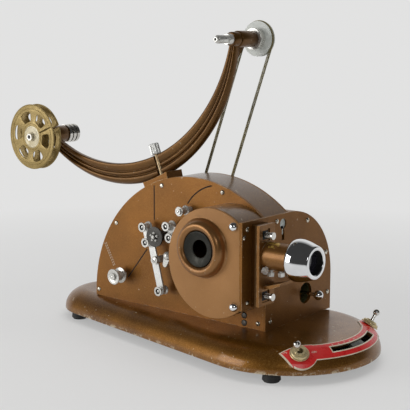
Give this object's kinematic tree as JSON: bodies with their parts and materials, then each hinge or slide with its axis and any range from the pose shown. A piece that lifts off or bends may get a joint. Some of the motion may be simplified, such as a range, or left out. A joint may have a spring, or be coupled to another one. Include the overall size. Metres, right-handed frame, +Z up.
{
  "type": "movie projector",
  "caption": "Tabletop narrow-film movie projector: cast base, arch mechanism housing with lamp house and lens, film rollers, and a crescent reel arm with a belt-driven take-up spindle.",
  "frame": {"origin": "on the table plane under the centre of the overall box", "axes": "X along the optical axis towards the screen, Y from the operating side to the motor side, Z up"},
  "size_m": [0.4452, 0.1872, 0.3331],
  "materials": {
    "enamel": "bronze-brown metallic enamel with gold flecks, chipped at the edges",
    "nickel": "bright nickel plate, lightly worn",
    "bright": "polished chrome",
    "steel": "plain machined steel",
    "silver": "satin silver sheet",
    "dark": "dark grey enamel",
    "gate_black": "black-brown film gate enamel",
    "brass": "plain brass, dulled",
    "gold": "gold lacquered sheet, slightly tarnished",
    "belt_wire": "dull olive-brown spring wire",
    "red": "red enamelled plate with a pale border",
    "rubber": "black rubber",
    "leather": "brown flat belting",
    "iron": "dark laminated iron",
    "ceramic": "unglazed ceramic former",
    "bakelite": "dark brown moulded insulator",
    "glass": "clear polished glass"
  },
  "bodies": {
    "housing": {"base_shell": "enamel", "base_cover": "dark", "rubber_feet": "rubber", "control_plate": "red", "toggle_switches": "nickel", "rheostat": "ceramic", "cord_gland": "bakelite", "side_plate": "enamel", "arch_rim": "enamel", "back_plate": "enamel", "front_plate": "enamel", "motor_housing": "enamel", "motor_stator": "iron", "inner_belts": "leather", "lamp_house": "enamel", "lamp_cover": "enamel", "vent_disc": "dark", "cover_nuts": "nickel", "lamp_socket": "brass", "lamp_bulb": "glass", "condenser": "glass", "condenser_ring": "steel", "film_gate": "gate_black", "gate_studs": "nickel", "gate_springs": "nickel", "roller_posts": "nickel", "plate_screws": "brass", "reel_arm": "enamel", "arm_saddle": "enamel", "spring_belt": "belt_wire"},
    "motor": {"motor_rotor": "steel"},
    "main": {"main_shaft": "steel"},
    "shutter": {"shutter": "dark"},
    "sprocket": {"sprocket": "steel", "sprocket_gears": "brass"},
    "drive": {"drive_pulley": "nickel", "takeup_gear": "brass"},
    "takeup": {"takeup_spindle": "nickel", "takeup_pulley": "nickel"},
    "supply": {"supply_spindle": "nickel", "supply_reel": "gold"},
    "guide": {"guide_roller": "nickel"},
    "feed": {"feed_roller": "nickel"},
    "keeper": {"keeper_lever": "silver"},
    "keeper_a": {"roller_a": "nickel"},
    "keeper_b": {"roller_b": "nickel"},
    "keeper_foot": {"foot_roller": "nickel"},
    "pair_c": {"roller_c": "nickel"},
    "pair_d": {"roller_d": "nickel"},
    "latch": {"latch": "nickel"},
    "gate": {"lens_carrier": "enamel", "clamp_screws": "nickel"},
    "barrel": {"lens_barrel": "bright", "lens_glass": "glass"},
    "claw": {"claw": "steel"},
    "framing": {"framing_lever": "nickel"},
    "lamp_lever": {"lamp_toggle": "nickel"},
    "motor_lever": {"motor_toggle": "nickel"},
    "speed": {"speed_slider": "nickel"},
    "clamp": {"thumbscrew": "nickel"}
  },
  "joints": [
    {"name": "motor_spin", "type": "hinge", "parent": "housing", "child": "motor", "pos_m": [0.084, -0.047, 0.08], "axis": [0, 1, 0], "continuous": true},
    {"name": "main_spin", "type": "hinge", "parent": "housing", "child": "main", "pos_m": [0.02698, -0.047, 0.09066], "axis": [0, 1, 0], "continuous": true},
    {"name": "shutter_spin", "type": "hinge", "parent": "housing", "child": "shutter", "pos_m": [0.108, -0.047, 0.1126], "axis": [0, 1, 0], "continuous": true},
    {"name": "sprocket_spin", "type": "hinge", "parent": "housing", "child": "sprocket", "pos_m": [-0.0006, -0.047, 0.1138], "axis": [0, 1, 0], "continuous": true},
    {"name": "drive_spin", "type": "hinge", "parent": "housing", "child": "drive", "pos_m": [0.02071, -0.047, 0.14157], "axis": [0, 1, 0], "continuous": true},
    {"name": "takeup_spin", "type": "hinge", "parent": "housing", "child": "takeup", "pos_m": [0.08281, -0.047, 0.31482], "axis": [0, 1, 0], "continuous": true},
    {"name": "supply_spin", "type": "hinge", "parent": "housing", "child": "supply", "pos_m": [-0.18624, -0.047, 0.20477], "axis": [0, 1, 0], "continuous": true},
    {"name": "guide_spin", "type": "hinge", "parent": "housing", "child": "guide", "pos_m": [-0.0614, -0.047, 0.0623], "axis": [0, 1, 0], "continuous": true},
    {"name": "feed_spin", "type": "hinge", "parent": "housing", "child": "feed", "pos_m": [0.0319, -0.047, 0.1436], "axis": [0, 1, 0], "continuous": true},
    {"name": "keeper_swing", "type": "hinge", "parent": "housing", "child": "keeper", "pos_m": [-0.0044, -0.047, 0.0879], "axis": [0, -1, 0], "range_deg": [0, 15]},
    {"name": "keeper_a_spin", "type": "hinge", "parent": "keeper", "child": "keeper_a", "pos_m": [-0.0193, -0.047, 0.1213], "axis": [0, 1, 0], "continuous": true},
    {"name": "keeper_b_spin", "type": "hinge", "parent": "keeper", "child": "keeper_b", "pos_m": [-0.015, -0.047, 0.1056], "axis": [0, 1, 0], "continuous": true},
    {"name": "keeper_foot_spin", "type": "hinge", "parent": "keeper", "child": "keeper_foot", "pos_m": [0.0025, -0.047, 0.0564], "axis": [0, 1, 0], "continuous": true},
    {"name": "pair_c_spin", "type": "hinge", "parent": "housing", "child": "pair_c", "pos_m": [0.0135, -0.047, 0.126], "axis": [0, 1, 0], "continuous": true},
    {"name": "pair_d_spin", "type": "hinge", "parent": "housing", "child": "pair_d", "pos_m": [0.0175, -0.047, 0.1145], "axis": [0, 1, 0], "continuous": true},
    {"name": "latch_turn", "type": "hinge", "parent": "housing", "child": "latch", "pos_m": [0.0125, -0.047, 0.0947], "axis": [0, 1, 0], "range_deg": [-35, 35]},
    {"name": "gate_slide", "type": "slide", "parent": "housing", "child": "gate", "axis": [1, 0, 0], "range_m": [0, 0.004], "stiffness_N_per_m": 400, "springref_m": -0.006, "deforming": ["gate_springs"]},
    {"name": "focus_slide", "type": "slide", "parent": "gate", "child": "barrel", "axis": [1, 0, 0], "range_m": [-0.006, 0.006]},
    {"name": "claw_slide", "type": "slide", "parent": "housing", "child": "claw", "axis": [0, 0, 1], "range_m": [-0.002, 0.002]},
    {"name": "framing_turn", "type": "hinge", "parent": "housing", "child": "framing", "pos_m": [0.1124, 0.0344, 0.0581], "axis": [0, 1, 0], "range_deg": [-12, 12]},
    {"name": "lamp_switch", "type": "hinge", "parent": "housing", "child": "lamp_lever", "pos_m": [0.18673, -0.06267, 0.02891], "axis": [-0.556, 0.6025, 0.5726], "range_deg": [0, 28]},
    {"name": "motor_switch", "type": "hinge", "parent": "housing", "child": "motor_lever", "pos_m": [0.18673, 0.06267, 0.02891], "axis": [0.556, 0.6025, -0.5726], "range_deg": [0, 28]},
    {"name": "speed_turn", "type": "hinge", "parent": "housing", "child": "speed", "pos_m": [0.1289, 0, 0.0327], "axis": [0, 0, 1], "range_deg": [-16, 16]},
    {"name": "clamp_turn", "type": "hinge", "parent": "housing", "child": "clamp", "pos_m": [-0.01678, -0.022, 0.1716], "axis": [-0.3584, 0, 0.9336], "range_deg": [-360, 0]}
  ],
  "couplings": [
    {"joint": "main_spin", "follows": "motor_spin", "ratio": 0.25},
    {"joint": "shutter_spin", "follows": "motor_spin", "ratio": 0.6},
    {"joint": "sprocket_spin", "follows": "motor_spin", "ratio": -0.05},
    {"joint": "drive_spin", "follows": "motor_spin", "ratio": 0.033333},
    {"joint": "takeup_spin", "follows": "motor_spin", "ratio": 0.033333}
  ]
}
